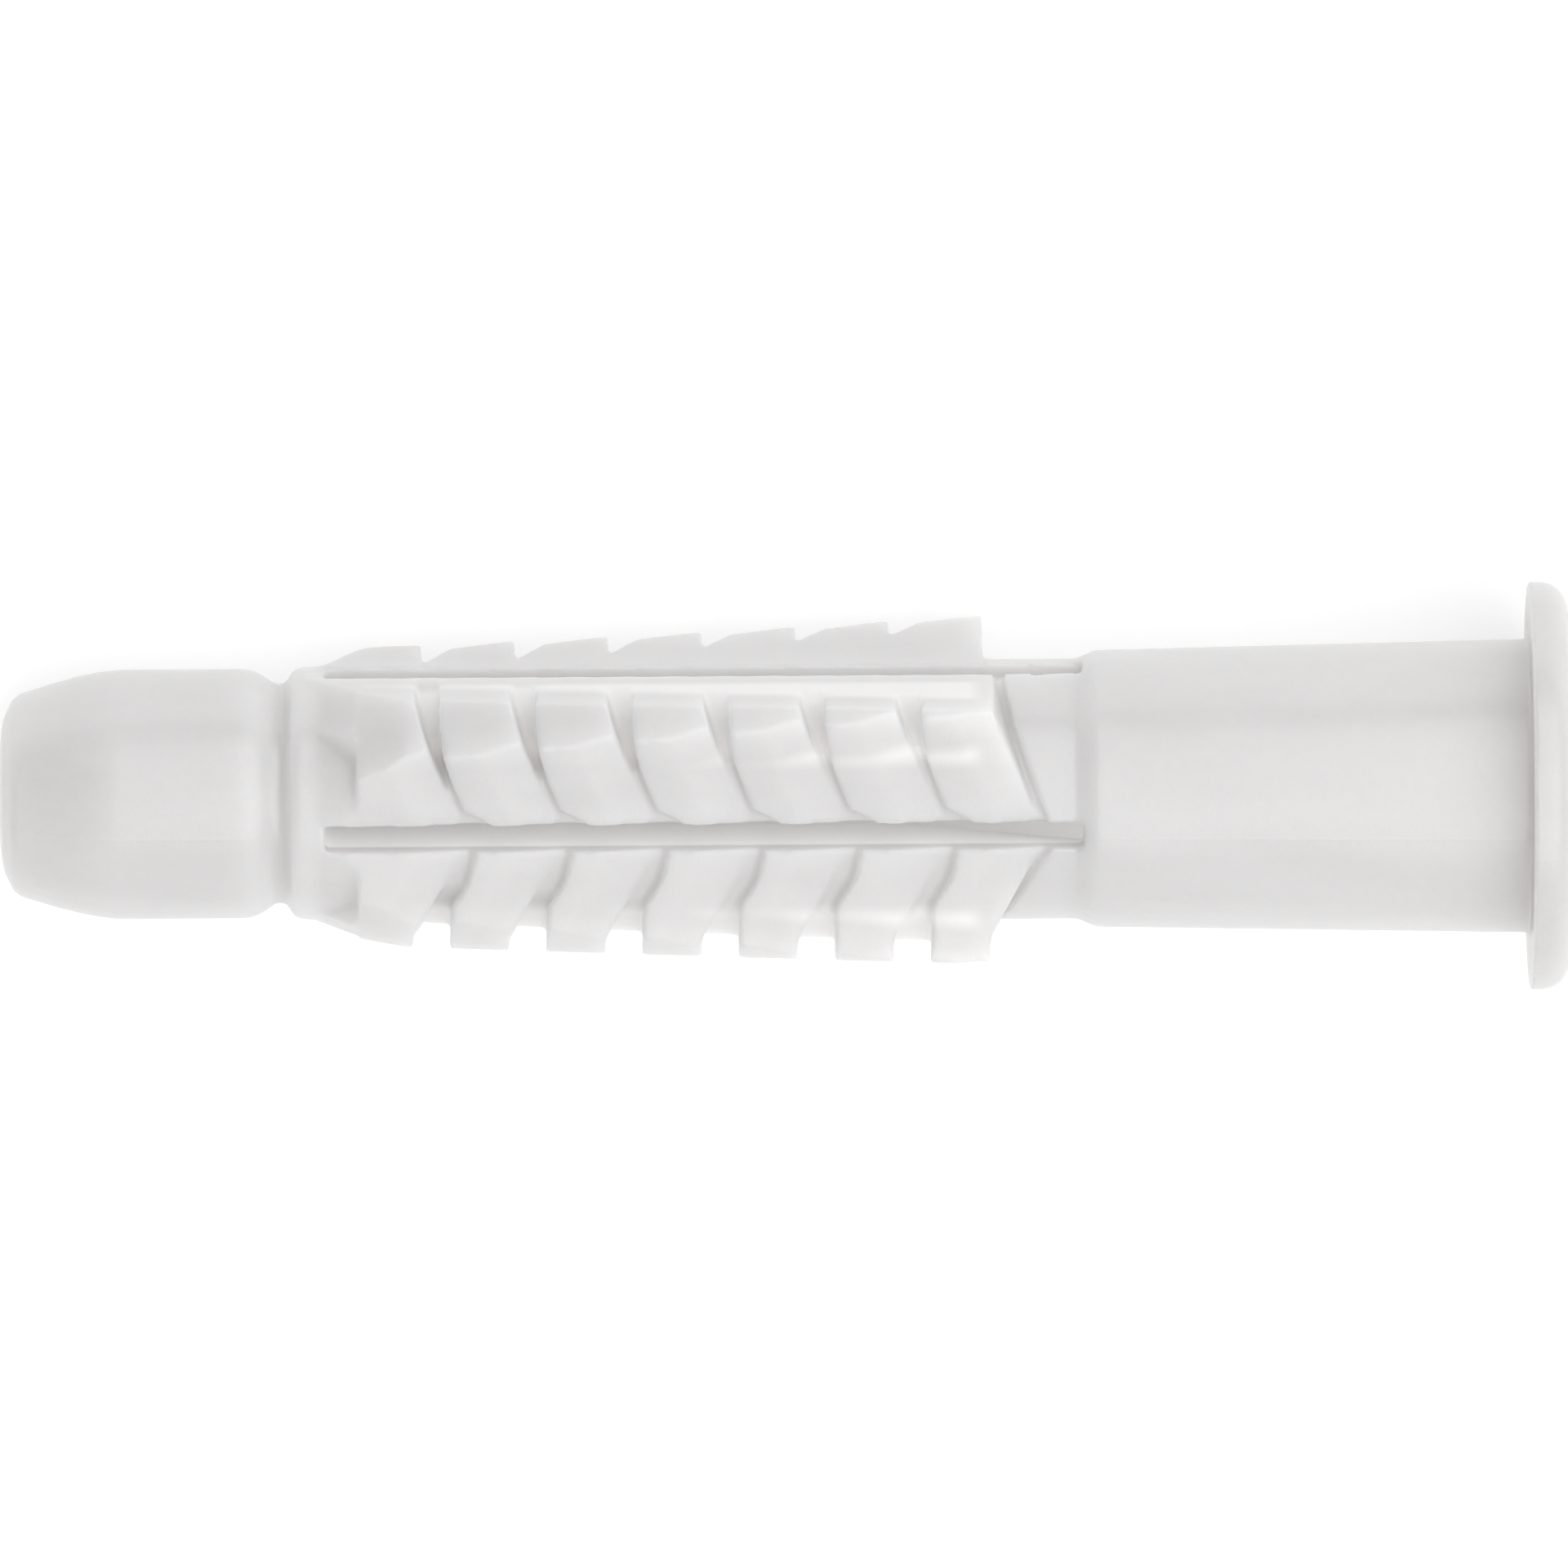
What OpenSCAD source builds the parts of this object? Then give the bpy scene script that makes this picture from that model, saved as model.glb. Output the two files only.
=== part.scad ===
// Universal wall plug, moulded in one piece.
// The plug is drawn along Z with its nose at z = 0, then laid down on its
// collar rim and nose, with the collar towards +X and the floor at z = 0.
// In the plug's own frame +X is the side with the oblique grooves, -X the
// side with the straight barbs, and the four slots face +X, +Y, -X and -Y.

/* [Overall] */
// Length from the nose to the outer face of the collar
plug_len = 40; // [39.8:0.1:40.6]
// Diameter of the collar
collar_d = 10.4; // [9.8:0.1:11.4]
// Thickness of the collar
collar_t = 1.0; // [0.9:0.05:1.2]
// Radius of the rounded outer edge of the collar
collar_edge = 0.7; // [0.5:0.05:0.8]

/* [Shank] */
// Diameter of the shank under the collar
shank_d_top = 7.49; // [7.3:0.01:7.7]
// Diameter of the shank at its step
shank_d_low = 7.06; // [6.9:0.01:7.2]
// Height of the step where the shank starts
shank_z = 27.45; // [27.3:0.05:27.6]
// Length of the chamfer at the step
step_len = 0.5; // [0.4:0.05:0.6]

/* [Nose] */
// Diameter of the domed end of the nose
nose_end_d = 5.0; // [4.6:0.1:5.1]
// Diameter of the flat in the middle of that end
nose_flat_d = 2.5; // [2:0.1:3]
// Diameter of the nose cylinder
nose_d = 6.36; // [6.2:0.02:6.5]
// Diameter of the neck groove behind the nose
neck_d = 5.6; // [5.3:0.05:5.8]

/* [Expansion zone] */
// Diameter of the round base of the fingers
base_d = 6.634; // [6.5:0.01:6.7]
// Half width across the faces at the slots
face_half = 3.27; // [3.2:0.01:3.3]
// Half width across the faces at the corners
corner_half = 3.46; // [3.4:0.01:3.5]
// Corner radius at the end of the first tooth
crest_r_first = 4.02; // [3.95:0.01:4.1]
// Corner radius at the end of the last tooth
crest_r_last = 4.86; // [4.7:0.01:4.88]
// Width of the four slots
slot_w = 0.7; // [0.5:0.05:0.8]
// Where the slots start behind the neck
slot_z0 = 8.33; // [8.3:0.01:8.5]
// Where the slots end in the shank
slot_z1 = 27.6; // [27.5:0.05:27.6]

/* [Oblique grooves] */
// Distance from one groove to the next
groove_pitch = 2.448; // [2.42:0.002:2.46]
// Where the last tooth ends at the slot
groove_end = 26.75; // [26.7:0.05:26.9]
// Depth of the face in a groove beside the slot
groove_floor = 0.17; // [0.1:0.01:0.25]
// Length of the slope that runs down to a groove
slope_len = 1.05; // [0.6:0.05:1.3]
// Depth of that slope
slope_depth = 0.17; // [0.05:0.01:0.19]

/* [Straight barbs] */
// Distance from one barb to the next
barb_pitch = 2.388; // [2.37:0.002:2.4]
// Where the last barb ends
barb_end = 25.08; // [25:0.02:25.1]
// Depth of the notch behind the first barb
barb_depth = 0.5; // [0.4:0.02:0.54]
// Length of the ramp that rises to the next barb
barb_ramp = 0.75; // [0.6:0.05:1]

/* [Screw bore] */
// Diameter of the bore that guides the screw through the shank
bore_d = 5.2; // [5:0.05:5.3]
// Diameter of the pilot bore between the fingers and in the nose
pilot_d = 2.7; // [2.4:0.1:3]
// Length of the taper between the two bores
bore_taper = 5; // [4:0.5:6]
// Width of the chamfer at the mouth
mouth = 0.4; // [0.3:0.05:0.5]

/* [Lying pose] */
// Roll about the axis, from the oblique side facing straight up. The plug
// lies steadily on its nose and collar rim while the barbs clear the floor.
roll = 0; // [-5:0.5:5]

/* [Hidden] */
$fn = 96;
teeth = 7;
zone_z0 = 8.2;
tooth_z0 = 9.15;
last_gap = 0.24;
base_r = base_d / 2;
collar_z = plug_len - collar_t;
// The plug lies on its collar rim and on the shoulder of its nose.
nose_touch_z = 3.0;
nose_touch_r = nose_d / 2;
tilt = atan((collar_d / 2 - nose_touch_r) / (collar_z - nose_touch_z));
lift = nose_touch_r * cos(tilt) - nose_touch_z * sin(tilt);
// Both ends reach equally far from the origin along X.
x_low = -nose_flat_d / 2 * sin(tilt);
x_high = (plug_len - collar_edge) * cos(tilt)
    + (collar_d / 2 - collar_edge) * sin(tilt) + collar_edge;

// Radius of the corners at height z on the oblique side
function crest_r(z) =
    crest_r_first + (crest_r_last - crest_r_first) * (z - 10.4) / 14.7;
// Radius of the floor of the oblique grooves at height z
function floor_r(z) = 3.33 + 0.045 * (z - 11);
// How far a tooth's end falls back towards the nose at v beside the slot.
// The grooves differ a little between the two sides of the slot.
function tooth_back(v) = v > 0 ? min(1.53, 0.03 + 0.53 * v) : 0.14 - 0.385 * v;
// How far the next tooth's start falls back at v beside the slot
function next_back(v) = v > 0
    ? lookup(v, [[0, -0.14], [0.7, 0], [1.1, 0.06], [1.45, 0.25],
        [1.8, 0.5], [2.2, 0.56], [3.6, 0.6]])
    : max(0.03, -0.16 + 0.97 * sin(min(-v, 3.3) / 3.3 * 90));
// Height at which tooth k ends beside the slot
function tooth_end(k) = groove_end - groove_pitch * (teeth - k);
// Height at which barb k ends
function barb_z(k) = barb_end - barb_pitch * (teeth - k);
// Radius of barb k at its end
function barb_r(k) =
    3.8 + 0.1 * (k - 1) + 0.0128 * (k - 1) * (k - 1);
// Radius of the notch behind barb k
function notch_r(k) = barb_r(k) - barb_depth - 0.01 * (k - 1);

// Distances from the slot at which the curved tooth ends are drawn
vs = [for (v = [0 : 0.3 : 3.6]) v];
vs_both = [for (i = [len(vs) - 1 : -1 : 1]) -vs[i], for (v = vs) v];

// Turns a shape drawn over the (v, z) plane to face +X
module face_x() {
    rotate([90, 0, 90]) children();
}

// One quarter of the outline of the nose, neck and ring
module nose_outline() {
    polygon([
        [0, 0], [nose_flat_d / 2, 0], [nose_end_d / 2 - 0.55, 0.1],
        [nose_end_d / 2 - 0.06, 0.33], [nose_end_d / 2 + 0.1, 0.54],
        [nose_d / 2 - 0.29, 1.5],
        [nose_d / 2 - 0.16, 2.0], [nose_d / 2 - 0.06, 2.5],
        [nose_d / 2, nose_touch_z], [nose_d / 2, 6.25],
        [nose_d / 2 - 0.05, 6.5], [nose_d / 2 - 0.16, 6.72],
        [neck_d / 2, 7.03], [neck_d / 2, 7.28],
        [base_r - 0.18, 7.5], [base_r - 0.11, 7.66],
        [base_r - 0.07, zone_z0], [base_r - 0.067, zone_z0 + 0.1],
        [0, zone_z0 + 0.1]
    ]);
}

module nose() {
    color("gainsboro") rotate_extrude() nose_outline();
}

// Shank and collar
module shank() {
    color("gainsboro") {
        rotate_extrude() polygon([
            [0, groove_end + 0.1], [base_r, groove_end + 0.1],
            [base_r, shank_z], [shank_d_low / 2, shank_z + step_len],
            [shank_d_top / 2, collar_z + 0.1], [0, collar_z + 0.1]
        ]);
        translate([0, 0, collar_z])
            cylinder(h = collar_t, d = collar_d - 2 * collar_edge);
        translate([0, 0, collar_z])
            cylinder(h = collar_t - collar_edge, d = collar_d);
        // the rounded edge, on the outer side only
        intersection() {
            rotate_extrude()
                translate([collar_d / 2 - collar_edge, plug_len - collar_edge])
                    circle(r = collar_edge);
            translate([0, 0, collar_z]) cylinder(h = collar_t + 1, d = collar_d + 2);
        }
    }
}

// Section of the expansion zone: four faces that rise a little to the corners
module star(a, c) {
    polygon([
        [a, 0], [c, c], [0, a], [-c, c], [-a, 0], [-c, -c], [0, -a], [c, -c]
    ]);
}

module star_prism(z0, z1) {
    translate([0, 0, z0]) linear_extrude(height = z1 - z0)
        star(face_half, corner_half);
}

// Round limit of the teeth on the oblique side
module crest_cone() {
    translate([0, 0, 10.4])
        cylinder(h = 16.6, r1 = crest_r(10.4), r2 = crest_r(27));
    translate([0, 0, 9.1])
        cylinder(h = 1.3, r1 = 3.72, r2 = crest_r(10.4));
}

// Tooth k seen from +X, between the two curved ends
module tooth_face(k) {
    polygon(concat(
        [for (v = vs_both)
            [v, k == 1 ? tooth_z0 : tooth_end(k - 1) - next_back(v)]],
        [for (i = [len(vs_both) - 1 : -1 : 0])
            let (v = vs_both[i]) [v, tooth_end(k) - tooth_back(v)]]
    ));
}

// What is left below the oblique grooves
module groove_core() {
    z0 = tooth_z0;
    z1 = groove_end - 0.05;
    color("whitesmoke") intersection() {
        star_prism(z0, z1);
        translate([0, 0, z0])
            cylinder(h = z1 - z0, r1 = floor_r(z0), r2 = floor_r(z1));
        translate([0, -5, z0])
            cube([face_half - groove_floor, 10, z1 - z0]);
        // it ends where the last tooth ends, under the round base
        face_x() linear_extrude(height = 5) polygon(concat(
            [[-4, zone_z0 - 1], [4, zone_z0 - 1]],
            [for (i = [len(vs_both) - 1 : -1 : 0]) let (v = vs_both[i])
                [v, groove_end - tooth_back(v)]]
        ));
    }
}

// Ring at the start of the zone on the oblique side, which widens a little
// from the nose ring to the first tooth
module start_ring() {
    color("whitesmoke") intersection() {
        star_prism(zone_z0 - 0.1, tooth_z0 + 0.3);
        translate([0, 0, zone_z0])
            cylinder(h = tooth_z0 - zone_z0 + 0.3, r1 = base_r - 0.067,
                r2 = base_r + 0.12);
        translate([0, -5, 0]) cube([5, 10, 40]);
    }
}

// Two slanted facets that lead up to the first tooth, for v > 0
module lead_facet() {
    color("whitesmoke") intersection() {
        star_prism(zone_z0 - 0.3, tooth_z0 + 0.05);
        cylinder(h = tooth_z0 + 0.05, r = 3.76);
        // the upper facet leans back from the tooth's start by 26 degrees
        translate([3.66 * cos(60), 3.66 * sin(60), tooth_z0]) rotate([0, 0, 60])
            rotate([0, 26, 0]) translate([-5, -6, -6]) cube([5, 12, 12]);
        // the small one beside it faces +X and leans back by 38 degrees
        translate([2.85, 0, tooth_z0 - 0.05])
            rotate([0, 38, 0]) translate([-8, -8, -8]) cube([8, 16, 16]);
        cube([5, 5, 40]);
    }
}

// Slope that runs down to the end of tooth k, for v > 0. The tooth's end
// starts back from the slot and falls back by rate, and the cut goes on past
// it by reach.
module slope_cut(k, back, rate, reach) {
    lean = atan((corner_half - face_half) / corner_half);
    translate([face_half, 0, tooth_end(k) - back])
        rotate([0, 0, -lean]) rotate([-atan(rate), 0, 0])
            rotate([0, -90, -90]) translate([0, 0, -0.6])
                linear_extrude(height = 6) polygon([
                    [-slope_len, 0], [0, -slope_depth], [reach, -slope_depth],
                    [reach, 1.6], [-slope_len, 1.6]
                ]);
}

// Oblique teeth, on the +X side
module oblique_teeth() {
    color("whitesmoke") difference() {
        intersection() {
            star_prism(zone_z0, groove_end);
            crest_cone();
            face_x() linear_extrude(height = 5) union() {
                for (k = [1 : teeth]) tooth_face(k);
            }
        }
        for (k = [1 : teeth]) {
            slope_cut(k, 0.03, 0.53, 0.27);
            mirror([0, 1, 0]) slope_cut(k, 0.14, 0.385, 0.04);
        }
    }
}

// Barbs on the -X side: straight drops that face the collar
module straight_barbs() {
    color("whitesmoke") intersection() {
        star_prism(zone_z0, barb_end);
        translate([-5, -5, 0]) cube([5, 10, 40]);
        rotate_extrude() polygon(concat(
            [[0, zone_z0], [base_r - 0.067, zone_z0],
             [base_r - 0.06, 8.25], [3.73, 9.33]],
            [for (k = [1 : teeth]) each concat(
                [[barb_r(k), barb_z(k)]],
                k < teeth ? [
                    [notch_r(k), barb_z(k)],
                    [notch_r(k), barb_z(k) + 0.12],
                    [barb_r(k + 1) - 0.22 - 0.02 * k, barb_z(k) + barb_ramp]
                ] : [[0, barb_z(k)]]
            )]
        ));
    }
}

// Round base beyond the last barb, and beyond the last oblique tooth
module end_base() {
    color("gainsboro") {
        intersection() {
            translate([0, 0, 24])
                cylinder(h = groove_end - 24 + 0.2, r = base_r);
            face_x() linear_extrude(height = 5) polygon(concat(
                [for (v = vs_both) [v, groove_end - tooth_back(v) + last_gap]],
                [[3.6, shank_z], [-3.6, shank_z]]
            ));
        }
        // floor of the fine groove behind the last tooth
        intersection() {
            translate([0, 0, 24])
                cylinder(h = groove_end - 24 + 0.2, r = base_r - 0.2);
            translate([0, -5, 0]) cube([5, 10, 40]);
        }
        intersection() {
            translate([0, 0, barb_end - 0.1])
                cylinder(h = groove_end - barb_end + 0.3, r = base_r);
            translate([-5, -5, 0]) cube([5, 10, 40]);
        }
    }
}

// Bore for the screw, with its taper and the pilot bore
module screw_bore() {
    translate([0, 0, slot_z1])
        cylinder(h = plug_len - slot_z1 + 1, d = bore_d);
    translate([0, 0, slot_z1 - bore_taper])
        cylinder(h = bore_taper, d1 = pilot_d, d2 = bore_d);
    translate([0, 0, -1]) cylinder(h = slot_z1 - bore_taper + 1, d = pilot_d);
    translate([0, 0, plug_len - mouth])
        cylinder(h = mouth + 0.01, d1 = bore_d, d2 = bore_d + 2 * mouth + 0.02);
}

// Four slots that part the expansion zone into fingers
module slots() {
    translate([-6, -slot_w / 2, slot_z0])
        cube([12, slot_w, slot_z1 - slot_z0]);
    translate([-slot_w / 2, -6, slot_z0])
        cube([slot_w, 12, slot_z1 - slot_z0]);
}

module wall_plug() {
    difference() {
        union() {
            nose();
            shank();
            straight_barbs();
            groove_core();
            start_ring();
            lead_facet();
            mirror([0, 1, 0]) lead_facet();
            oblique_teeth();
            end_base();
        }
        screw_bore();
        slots();
    }
}

// The plug as it lies on a table, collar towards +X
module lying() {
    translate([-(x_low + x_high) / 2, 0, lift])
        rotate([0, 90 - tilt, 0]) rotate([0, 0, 180 + roll]) children();
}

lying() wall_plug();
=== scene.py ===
import math

import bmesh
import bpy
import numpy as np
from mathutils import Matrix, Vector


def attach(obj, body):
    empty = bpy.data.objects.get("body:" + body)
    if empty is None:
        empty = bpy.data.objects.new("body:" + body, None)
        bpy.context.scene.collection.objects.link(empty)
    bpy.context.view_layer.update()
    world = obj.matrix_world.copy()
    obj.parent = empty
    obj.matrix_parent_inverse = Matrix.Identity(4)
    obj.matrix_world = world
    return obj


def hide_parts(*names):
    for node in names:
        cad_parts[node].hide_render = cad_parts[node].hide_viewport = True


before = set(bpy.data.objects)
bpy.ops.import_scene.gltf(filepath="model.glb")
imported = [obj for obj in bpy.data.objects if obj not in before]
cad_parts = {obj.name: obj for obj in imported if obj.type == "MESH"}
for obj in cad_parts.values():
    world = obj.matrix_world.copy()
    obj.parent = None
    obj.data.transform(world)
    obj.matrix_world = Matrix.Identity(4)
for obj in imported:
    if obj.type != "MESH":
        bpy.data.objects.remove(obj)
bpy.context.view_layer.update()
MM = 0.001
scene = bpy.context.scene
scene.view_settings.view_transform = "Standard"
scene.view_settings.look = "None"

# The plug lies on its collar rim and nose, so its axis rises a little.
TILT = math.atan((5.2 - 3.18) / (39.0 - 3.0))
AXIS = Vector((math.cos(TILT), 0.0, math.sin(TILT)))
NOSE = Vector((
    -((39.3 * math.cos(TILT) + 4.5 * math.sin(TILT) + 0.7) - 1.25 * math.sin(TILT)) / 2,
    0.0,
    3.18 * math.cos(TILT) - 3.0 * math.sin(TILT),
)) * MM
SIDE = Vector((0.0, 1.0, 0.0))
TOP = AXIS.cross(SIDE)

# ---------------------------------------------------------------- camera
# Square to the plug's axis, 21.5 degrees down from straight above.
ELEV = math.radians(21.5)
ROLL = math.radians(-0.36)
PX_PER_MM = 48.0
DISTANCE = 600.0 * MM
CENTRE = NOSE + AXIS * (20.0 * MM)
SHIFT_X, SHIFT_Y = 0.0, 0.16

look = TOP * math.cos(ELEV) + SIDE * math.sin(ELEV)
up = SIDE * math.cos(ELEV) - TOP * math.sin(ELEV)
right = up.cross(look)
cam_right = right * math.cos(ROLL) + up * math.sin(ROLL)
cam_up = up * math.cos(ROLL) - right * math.sin(ROLL)

cam_data = bpy.data.cameras.new("camera")
cam_data.sensor_width = 36.0
cam_data.sensor_fit = "HORIZONTAL"
cam_data.lens = 36.0 * (DISTANCE / MM) * PX_PER_MM / 1920.0
cam_data.clip_start = 0.01
cam_data.clip_end = 50.0
cam = bpy.data.objects.new("camera", cam_data)
scene.collection.objects.link(cam)
eye = CENTRE + cam_right * (SHIFT_X * MM) + cam_up * (SHIFT_Y * MM) + look * DISTANCE
rot = Matrix((cam_right, cam_up, look)).transposed().to_4x4()
cam.matrix_world = Matrix.Translation(eye) @ rot
scene.camera = cam

# ---------------------------------------------------------------- floor, world and light
bpy.ops.mesh.primitive_plane_add(size=6.0, location=(0, 0, 0))
floor = bpy.context.object
floor.name = "floor"
m = bpy.data.materials.new("floor_white")
m.use_nodes = True
b = m.node_tree.nodes["Principled BSDF"]
b.inputs["Base Color"].default_value = (0.66, 0.66, 0.66, 1)
b.inputs["Emission Color"].default_value = (1, 1, 1, 1)
b.inputs["Emission Strength"].default_value = 0.46
b.inputs["Roughness"].default_value = 0.85
b.inputs["Specular IOR Level"].default_value = 0.15
floor.data.materials.append(m)

world = bpy.data.worlds.new("world")
scene.world = world
world.use_nodes = True
wt = world.node_tree
sky = wt.nodes["Background"]
sky.inputs[0].default_value = (1, 1, 1, 1)
# The studio is a little darker behind the plug than in front of it
way = wt.nodes.new("ShaderNodeTexCoord")
parts = wt.nodes.new("ShaderNodeSeparateXYZ")
fall = wt.nodes.new("ShaderNodeMapRange")
wt.links.new(way.outputs["Generated"], parts.inputs[0])
wt.links.new(parts.outputs["Y"], fall.inputs["Value"])
fall.inputs["From Min"].default_value = -1.0
fall.inputs["From Max"].default_value = 1.0
fall.inputs["To Min"].default_value = 0.97
fall.inputs["To Max"].default_value = 0.16
wt.links.new(fall.outputs["Result"], sky.inputs[1])


def softbox(name, offset, size, radiance):
    """A soft box parallel to the picture: offset along right, up and look, in m."""
    d = bpy.data.lights.new(name, "AREA")
    d.shape = "RECTANGLE"
    d.size, d.size_y = size
    d.energy = radiance * math.pi * size[0] * size[1]
    o = bpy.data.objects.new(name, d)
    scene.collection.objects.link(o)
    place = right * offset[0] + up * offset[1] + look * offset[2]
    o.matrix_world = Matrix.Translation(CENTRE + place) @ rot
    o.visible_camera = False
    return o


softbox("main_box", (0.42, 0.06, 0.50), (1.05, 1.15), 1.40)


# ---------------------------------------------------------------- moulded body
# Turned surfaces as (from, to, radius at from, radius at to), in mm
ROUNDS = (
    (3.15, 6.15, 3.18, 3.18),
    (26.9, 27.35, 3.317, 3.317),
    (28.05, 38.88, 3.5323, 3.7427),
    (39.05, 39.25, 5.2, 5.2),
    (27.75, 39.45, 2.6, 2.6),
)


def true_rounds(mesh):
    """Put the points of the turned surfaces back on their true radius."""
    co = np.empty(len(mesh.vertices) * 3)
    mesh.vertices.foreach_get("co", co)
    co = co.reshape(-1, 3)
    rel = (co - np.array(NOSE)) * 1000
    a = rel @ np.array(AXIS)
    radial = rel - a[:, None] * np.array(AXIS)
    r = np.linalg.norm(radial, axis=1)
    scale = np.ones(len(r))
    for z0, z1, r0, r1 in ROUNDS:
        true = r0 + (r1 - r0) * (a - z0) / (z1 - z0)
        hit = (a > z0) & (a < z1) & (np.abs(r - true) < 0.045)
        scale[hit] = true[hit] / r[hit]
    co += radial * (scale - 1)[:, None] / 1000
    mesh.vertices.foreach_set("co", co.ravel())
    mesh.update()


def moulded_body():
    """The plug with every edge rounded a little, as it comes from the mould."""
    node = bpy.data.objects["wall_plug"]
    mesh = node.data.copy()
    mesh.transform(Matrix.Scale(1000.0, 4))
    piece = bpy.data.objects.new("moulded_plug", mesh)
    scene.collection.objects.link(piece)
    mesh.materials.clear()
    bm = bmesh.new()
    bm.from_mesh(mesh)
    bmesh.ops.remove_doubles(bm, verts=bm.verts, dist=0.0005)
    bm.to_mesh(mesh)
    bm.free()
    rm = piece.modifiers.new("remesh", "REMESH")
    rm.mode = "VOXEL"
    rm.voxel_size = 0.07
    sm = piece.modifiers.new("smooth", "SMOOTH")
    sm.factor = 0.5
    sm.iterations = 4
    dc = piece.modifiers.new("decimate", "DECIMATE")
    dc.ratio = 0.215
    graph = bpy.context.evaluated_depsgraph_get()
    done = bpy.data.meshes.new_from_object(piece.evaluated_get(graph))
    piece.modifiers.clear()
    piece.data = done
    bpy.data.meshes.remove(mesh)
    done.transform(Matrix.Scale(0.001, 4))
    true_rounds(done)
    print("TRIANGLES", sum(len(q.vertices) - 2 for q in done.polygons))
    done.polygons.foreach_set("use_smooth", [True] * len(done.polygons))
    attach(piece, "root")
    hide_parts("wall_plug")
    return piece


plug = moulded_body()

# ---------------------------------------------------------------- plastic
mat = bpy.data.materials.new("nylon")
mat.use_nodes = True
nt = mat.node_tree
shader = nt.nodes["Principled BSDF"]


def wire(value, socket):
    if isinstance(value, bpy.types.NodeSocket):
        nt.links.new(value, socket)
    else:
        socket.default_value = value


def calc(op, *args, clamp=False):
    n = nt.nodes.new("ShaderNodeMath")
    n.operation = op
    n.use_clamp = clamp
    for i, v in enumerate(args):
        wire(v, n.inputs[i])
    return n.outputs[0]


def vec(op, a, b, out="Vector"):
    n = nt.nodes.new("ShaderNodeVectorMath")
    n.operation = op
    wire(a, n.inputs[0])
    wire(b, n.inputs[1])
    return n.outputs[out]


def ramp(value, x0, x1, y0=0.0, y1=1.0):
    n = nt.nodes.new("ShaderNodeMapRange")
    n.interpolation_type = "SMOOTHSTEP"
    wire(value, n.inputs["Value"])
    for k, v in (("From Min", x0), ("From Max", x1), ("To Min", y0), ("To Max", y1)):
        n.inputs[k].default_value = v
    return n.outputs["Result"]


def noise(vector, scale, detail=2.0, rough=0.5):
    n = nt.nodes.new("ShaderNodeTexNoise")
    wire(vector, n.inputs["Vector"])
    n.inputs["Scale"].default_value = scale
    n.inputs["Detail"].default_value = detail
    n.inputs["Roughness"].default_value = rough
    return n.outputs["Fac"]


# Millimetres from the nose: along the axis, to the side, and to the top
coord = nt.nodes.new("ShaderNodeTexCoord")
from_nose = vec("SUBTRACT", coord.outputs["Object"], tuple(NOSE))
along = vec("DOT_PRODUCT", from_nose, tuple(AXIS * 1000), "Value")
side = vec("DOT_PRODUCT", from_nose, tuple(SIDE * 1000), "Value")
top = vec("DOT_PRODUCT", from_nose, tuple(TOP * 1000), "Value")
join = nt.nodes.new("ShaderNodeCombineXYZ")
wire(along, join.inputs[0])
wire(side, join.inputs[1])
wire(top, join.inputs[2])
mm = join.outputs[0]

# Colour: milky white with slow clouds from the flow of the melt
stretched = vec("MULTIPLY", mm, (0.35, 1.0, 1.0))
cloud = noise(stretched, 0.55, 3.0, 0.55)
speck = noise(mm, 5.0, 2.0, 0.6)
shade = calc("ADD", ramp(cloud, 0.3, 0.7, -0.022, 0.022), ramp(speck, 0.3, 0.7, -0.008, 0.008))
mix = nt.nodes.new("ShaderNodeMix")
mix.data_type = "RGBA"
mix.inputs[6].default_value = (0.603, 0.596, 0.596, 1)
mix.inputs[7].default_value = (0.663, 0.655, 0.656, 1)
wire(calc("ADD", calc("MULTIPLY", shade, 8.0), 0.5, clamp=True), mix.inputs[0])

# Painted light: the slots and the bore are coloured lighter and given a faint painted glow, standing in
# for light through their thin walls, and the neck and the floors of the grooves are painted lighter to
# lift the shade there
radius = calc("SQRT", calc("ADD", calc("MULTIPLY", side, side), calc("MULTIPLY", top, top)))
painted_light_inside = calc(
    "ADD",
    calc("MULTIPLY", ramp(radius, 2.8, 3.0, 1.0, 0.0), ramp(along, 8.1, 8.3)),
    calc("MULTIPLY", ramp(radius, 1.8, 2.0, 1.0, 0.0), ramp(along, 0.6, 0.8)),
    clamp=True,
)
painted_light_inside = calc("MULTIPLY", painted_light_inside, ramp(along, 36.0, 39.3, 1.0, 0.0))
# Painted light: blends the lighter colour into the slots, the bore, the neck and the groove floors
painted_fill_light = nt.nodes.new("ShaderNodeMix")
painted_fill_light.data_type = "RGBA"
# Painted light: the neck is coloured lighter to lift the shade in it
neck_painted_light = calc("MULTIPLY", ramp(along, 6.7, 7.0), ramp(along, 7.9, 8.4, 0.13, 0.0))
# Painted light: the floors of the grooves are coloured lighter where they lie in shade
floor_r = calc("ADD", calc("MULTIPLY", along, 0.045), 3.33 - 0.045 * 11)
groove_painted_light = calc(
    "MULTIPLY",
    calc("MULTIPLY", ramp(calc("SUBTRACT", radius, floor_r), 0.06, 0.35, 0.5, 0.0), ramp(along, 9.2, 9.4)),
    calc("MULTIPLY", ramp(calc("ABSOLUTE", side), 1.8, 2.3), ramp(top, 0.8, 1.2)),
)
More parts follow.
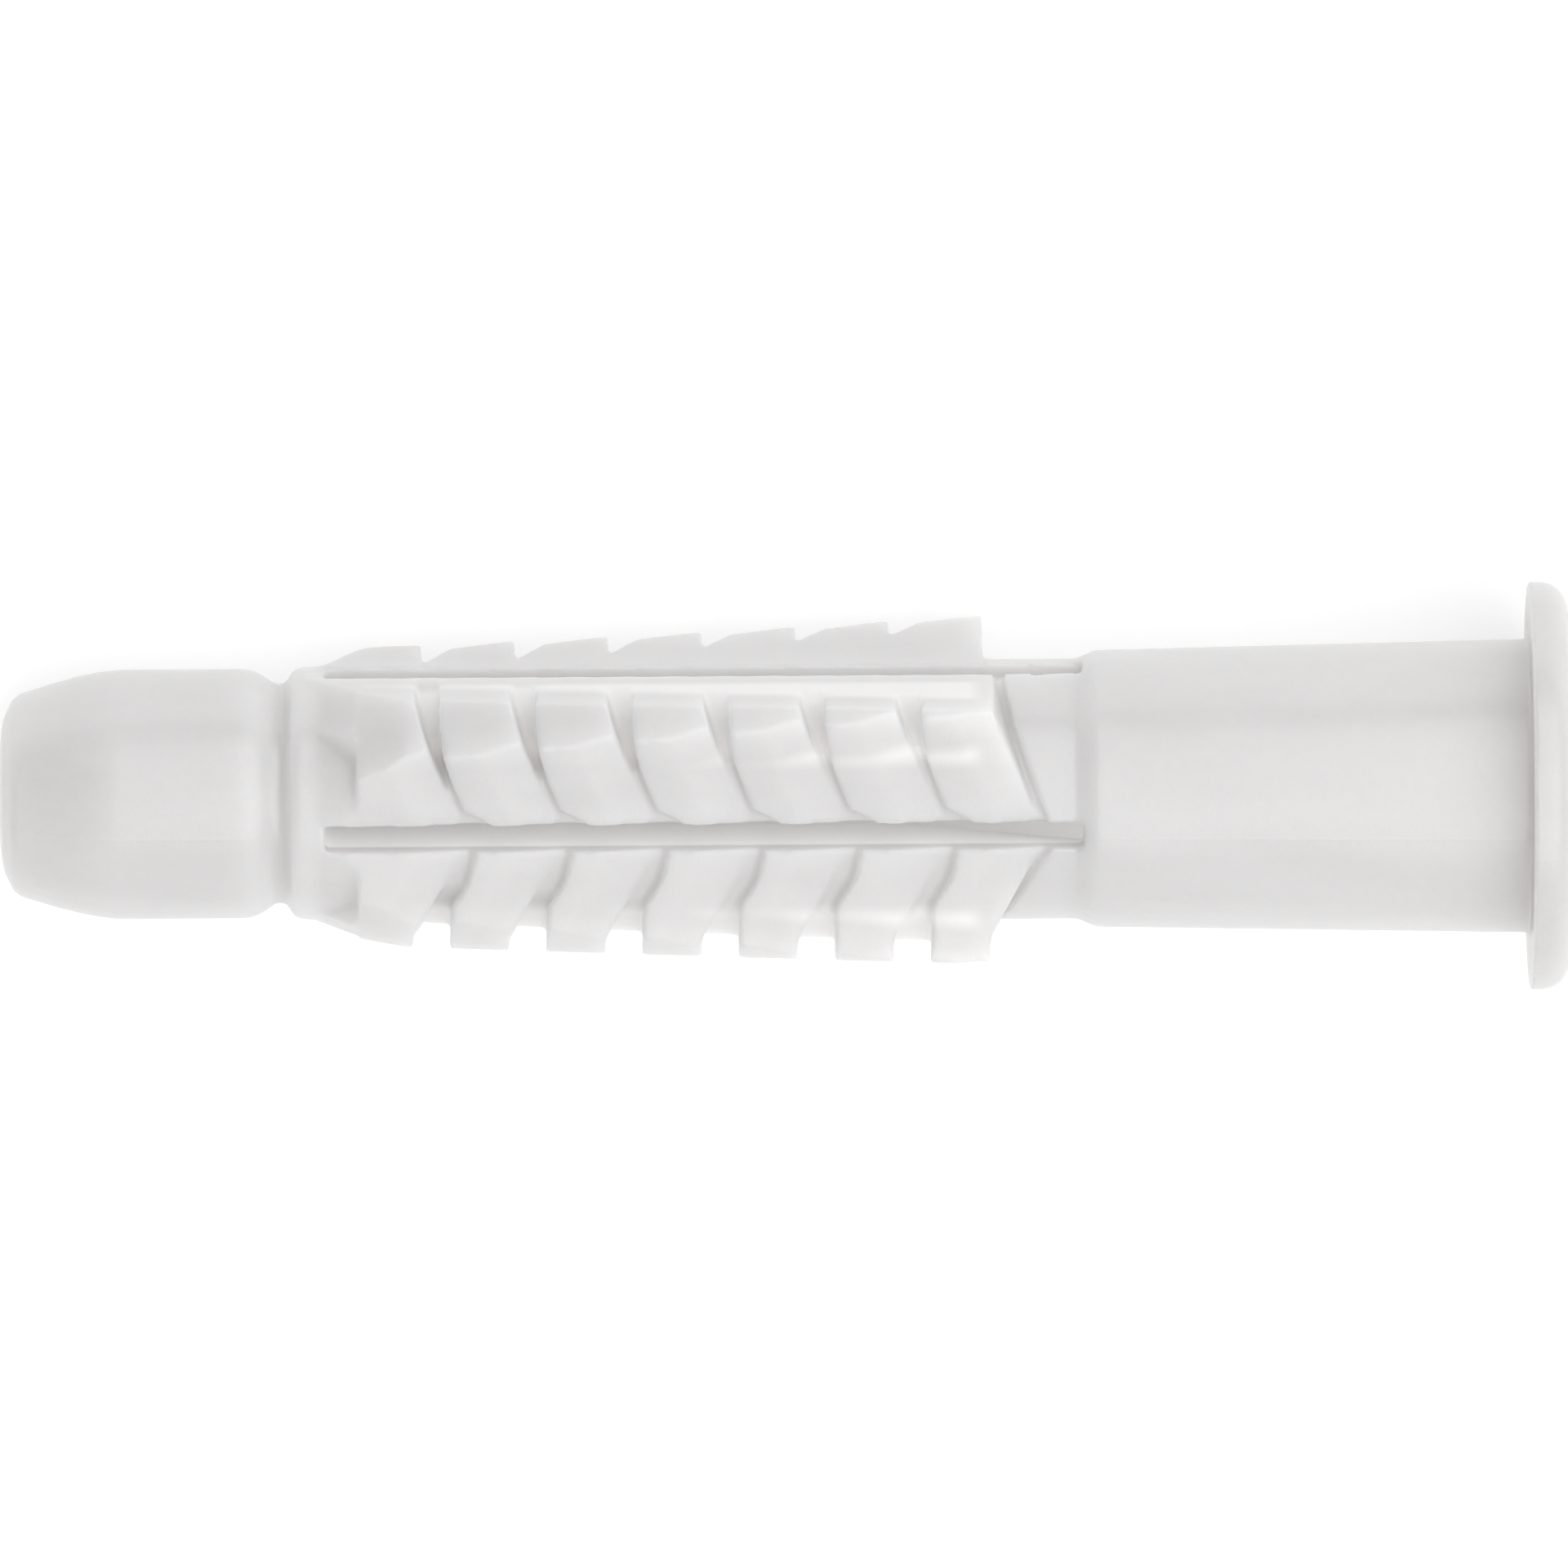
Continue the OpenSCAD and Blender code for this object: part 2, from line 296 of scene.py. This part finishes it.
groove_painted_light = calc("MULTIPLY", groove_painted_light, ramp(along, 24.6, 25.2, 1.0, 0.0))
wire(calc("MAXIMUM", painted_light_inside, calc("MAXIMUM", neck_painted_light, groove_painted_light)), painted_fill_light.inputs[0])
wire(mix.outputs[2], painted_fill_light.inputs[6])
painted_fill_light.inputs[7].default_value = (0.93, 0.92, 0.915, 1)
# Painted shade: the collar's thin disc is coloured a little darker than the body, standing in for shade on
# it
rim = nt.nodes.new("ShaderNodeMix")
rim.data_type = "RGBA"
rim.blend_type = "MULTIPLY"
wire(ramp(along, 38.95, 39.05), rim.inputs[0])
wire(painted_fill_light.outputs[2], rim.inputs[6])
rim.inputs[7].default_value = (0.86, 0.86, 0.86, 1)
wire(rim.outputs[2], shader.inputs["Base Color"])
# Painted glow: the slots and the bore give off a faint light of their own
shader.inputs["Emission Color"].default_value = (1.0, 0.99, 0.985, 1)
wire(calc("MULTIPLY", painted_light_inside, 0.045), shader.inputs["Emission Strength"])
mat.cycles.emission_sampling = "NONE"

# Gloss: moulded nylon, a little duller where the melt ran slower
wire(ramp(cloud, 0.25, 0.75, 0.29, 0.35), shader.inputs["Roughness"])
shader.inputs["IOR"].default_value = 1.53
shader.inputs["Specular IOR Level"].default_value = 0.8
shader.inputs["Subsurface Weight"].default_value = 0.9
shader.inputs["Subsurface Radius"].default_value = (1.0, 0.97, 0.92)
shader.inputs["Subsurface Scale"].default_value = 0.0025

# Relief: a fine eroded mould surface, faint sinks, and the mould's seam
grain = noise(mm, 14.0, 2.0, 0.55)
sink = noise(stretched, 0.9, 1.0, 0.5)
seam = calc(
    "MULTIPLY",
    ramp(calc("ABSOLUTE", side), 0.02, 0.07, 1.0, 0.0),
    calc("ADD", ramp(along, 27.9, 28.1), ramp(along, 6.6, 6.8, 1.0, 0.0), clamp=True),
)
height = calc(
    "ADD",
    calc("ADD", calc("MULTIPLY", grain, 0.006), calc("MULTIPLY", sink, 0.05)),
    calc("MULTIPLY", seam, 0.004),
)
bump = nt.nodes.new("ShaderNodeBump")
bump.inputs["Strength"].default_value = 1.0
bump.inputs["Distance"].default_value = 0.001
wire(height, bump.inputs["Height"])
wire(bump.outputs["Normal"], shader.inputs["Normal"])
plug.data.materials.append(mat)
